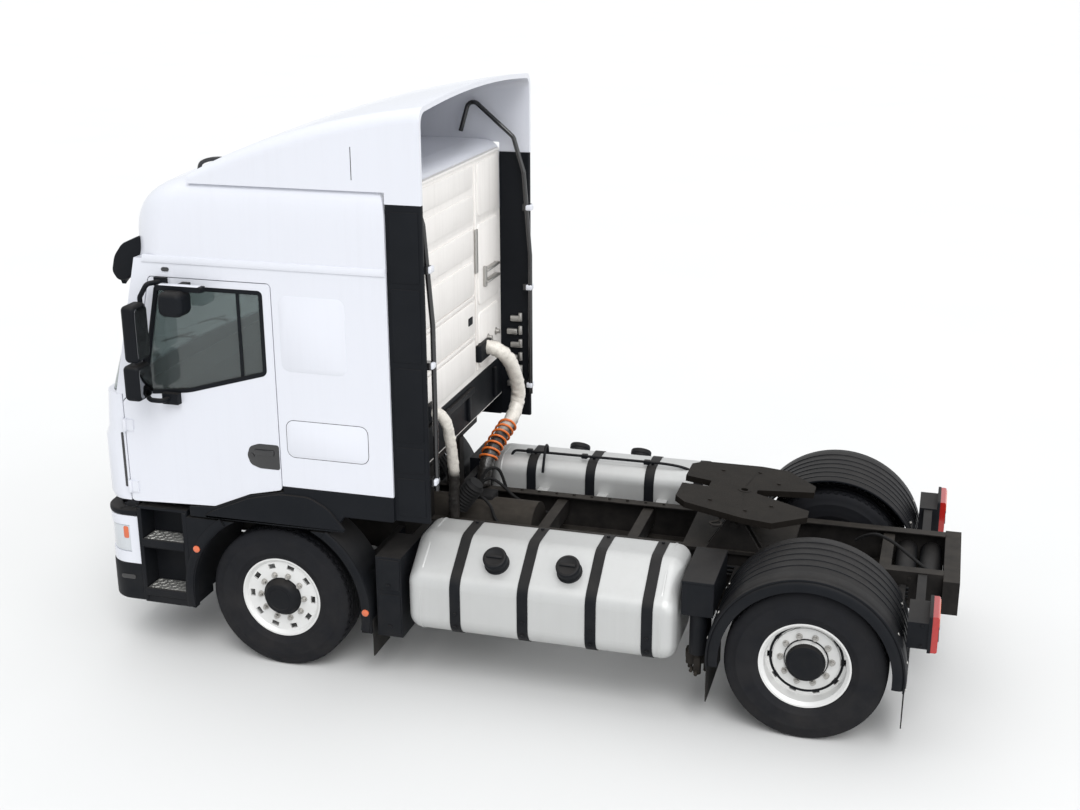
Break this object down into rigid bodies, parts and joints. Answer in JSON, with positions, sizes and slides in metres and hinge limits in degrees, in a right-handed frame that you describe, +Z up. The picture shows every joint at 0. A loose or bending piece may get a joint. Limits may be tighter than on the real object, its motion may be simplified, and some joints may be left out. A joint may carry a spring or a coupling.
{
  "type": "semi truck tractor unit",
  "caption": "Short-wheelbase cab-over semi truck tractor with tilting sleeper cab, hinged doors, steered front wheels, twin rear wheels and a pitching fifth wheel coupling for a trailer.",
  "frame": {"origin": "ground point under the middle of the vehicle's outline", "axes": "+X forwards, +Y to the vehicle's left, +Z up"},
  "size_m": [6.07, 3.01, 4.0628],
  "materials": {
    "cab_white": "gloss paint",
    "black_plastic": "grained",
    "chassis_paint": "satin paint",
    "bare_alloy": "brushed, dusty",
    "rim_silver": "silver paint",
    "tyre_rubber": "matt",
    "flap_rubber": "matt",
    "cast_parts": "painted castings",
    "glazing": "tinted",
    "lamp_red": "lens",
    "lamp_clear": "lens",
    "seat_cloth": "woven",
    "dash_plastic": "grained",
    "tube_black": "gloss paint",
    "steel_plate": "greasy steel"
  },
  "bodies": {
    "chassis": {"frame": "chassis_paint", "front_axle": "cast_parts", "suspension": "chassis_paint", "rear_axle": "cast_parts", "engine": "cast_parts", "driveline": "cast_parts", "fuel_tanks": "bare_alloy", "tank_fittings": "black_plastic", "fifth_wheel_base": "chassis_paint", "rear_mudguards": "black_plastic", "mud_flaps": "flap_rubber", "rear_lamps": "lamp_red", "side_equipment": "black_plastic", "bumper": "black_plastic", "lamp_panels": "cab_white", "headlamps": "lamp_clear", "step_wells": "black_plastic", "cab_support": "chassis_paint", "tilt_pivot": "cast_parts", "air_lines": "flap_rubber"},
    "cab": {"cab_floor": "chassis_paint", "side_walls": "cab_white", "rear_wall": "cab_white", "cab_front": "cab_white", "windscreen": "glazing", "sun_visor": "black_plastic", "cab_roof": "cab_white", "roof_deflector": "cab_white", "side_deflectors": "black_plastic", "deflector_stays": "tube_black", "cab_arches": "black_plastic", "cab_furniture": "seat_cloth", "dashboard": "dash_plastic"},
    "door_left": {"door_left": "cab_white", "door_glass_left": "glazing", "mirrors_left": "black_plastic"},
    "door_right": {"door_right": "cab_white", "door_glass_right": "glazing", "mirrors_right": "black_plastic"},
    "knuckle_left": {"knuckle_left": "cast_parts"},
    "knuckle_right": {"knuckle_right": "cast_parts"},
    "front_wheel_left": {"front_wheel_left": "rim_silver", "front_tyre_left": "tyre_rubber"},
    "front_wheel_right": {"front_wheel_right": "rim_silver", "front_tyre_right": "tyre_rubber"},
    "rear_wheel_left": {"rear_wheel_left": "rim_silver", "rear_tyres_left": "tyre_rubber"},
    "rear_wheel_right": {"rear_wheel_right": "rim_silver", "rear_tyres_right": "tyre_rubber"},
    "fifth_wheel": {"fifth_wheel_plate": "steel_plate"}
  },
  "joints": [
    {"name": "cab_tilt", "type": "hinge", "parent": "chassis", "child": "cab", "pos_m": [2.795, 0, 0.85], "axis": [0, 1, 0], "range_deg": [0, 60], "deforming": ["air_lines"]},
    {"name": "door_left_hinge", "type": "hinge", "parent": "cab", "child": "door_left", "pos_m": [2.68, 1.252, 1.53], "axis": [0, 0, -1], "range_deg": [0, 80]},
    {"name": "door_right_hinge", "type": "hinge", "parent": "cab", "child": "door_right", "pos_m": [2.68, -1.252, 1.53], "axis": [0, 0, 1], "range_deg": [0, 80]},
    {"name": "steer_left", "type": "hinge", "parent": "chassis", "child": "knuckle_left", "pos_m": [1.595, 0.85, 0.53], "axis": [0, 0, 1], "range_deg": [-40, 40]},
    {"name": "steer_right", "type": "hinge", "parent": "chassis", "child": "knuckle_right", "pos_m": [1.595, -0.85, 0.53], "axis": [0, 0, 1], "range_deg": [-40, 40]},
    {"name": "front_wheel_left_spin", "type": "hinge", "parent": "knuckle_left", "child": "front_wheel_left", "pos_m": [1.595, 1.04, 0.53], "axis": [0, 1, 0], "continuous": true},
    {"name": "front_wheel_right_spin", "type": "hinge", "parent": "knuckle_right", "child": "front_wheel_right", "pos_m": [1.595, -1.04, 0.53], "axis": [0, 1, 0], "continuous": true},
    {"name": "rear_wheel_left_spin", "type": "hinge", "parent": "chassis", "child": "rear_wheel_left", "pos_m": [-2.105, 0.88, 0.53], "axis": [0, 1, 0], "continuous": true},
    {"name": "rear_wheel_right_spin", "type": "hinge", "parent": "chassis", "child": "rear_wheel_right", "pos_m": [-2.105, -0.88, 0.53], "axis": [0, 1, 0], "continuous": true},
    {"name": "fifth_wheel_pitch", "type": "hinge", "parent": "chassis", "child": "fifth_wheel", "pos_m": [-1.505, 0, 1.13], "axis": [0, 1, 0], "range_deg": [0, 15]}
  ],
  "couplings": [
    {"joint": "steer_right", "follows": "steer_left", "ratio": 1}
  ]
}
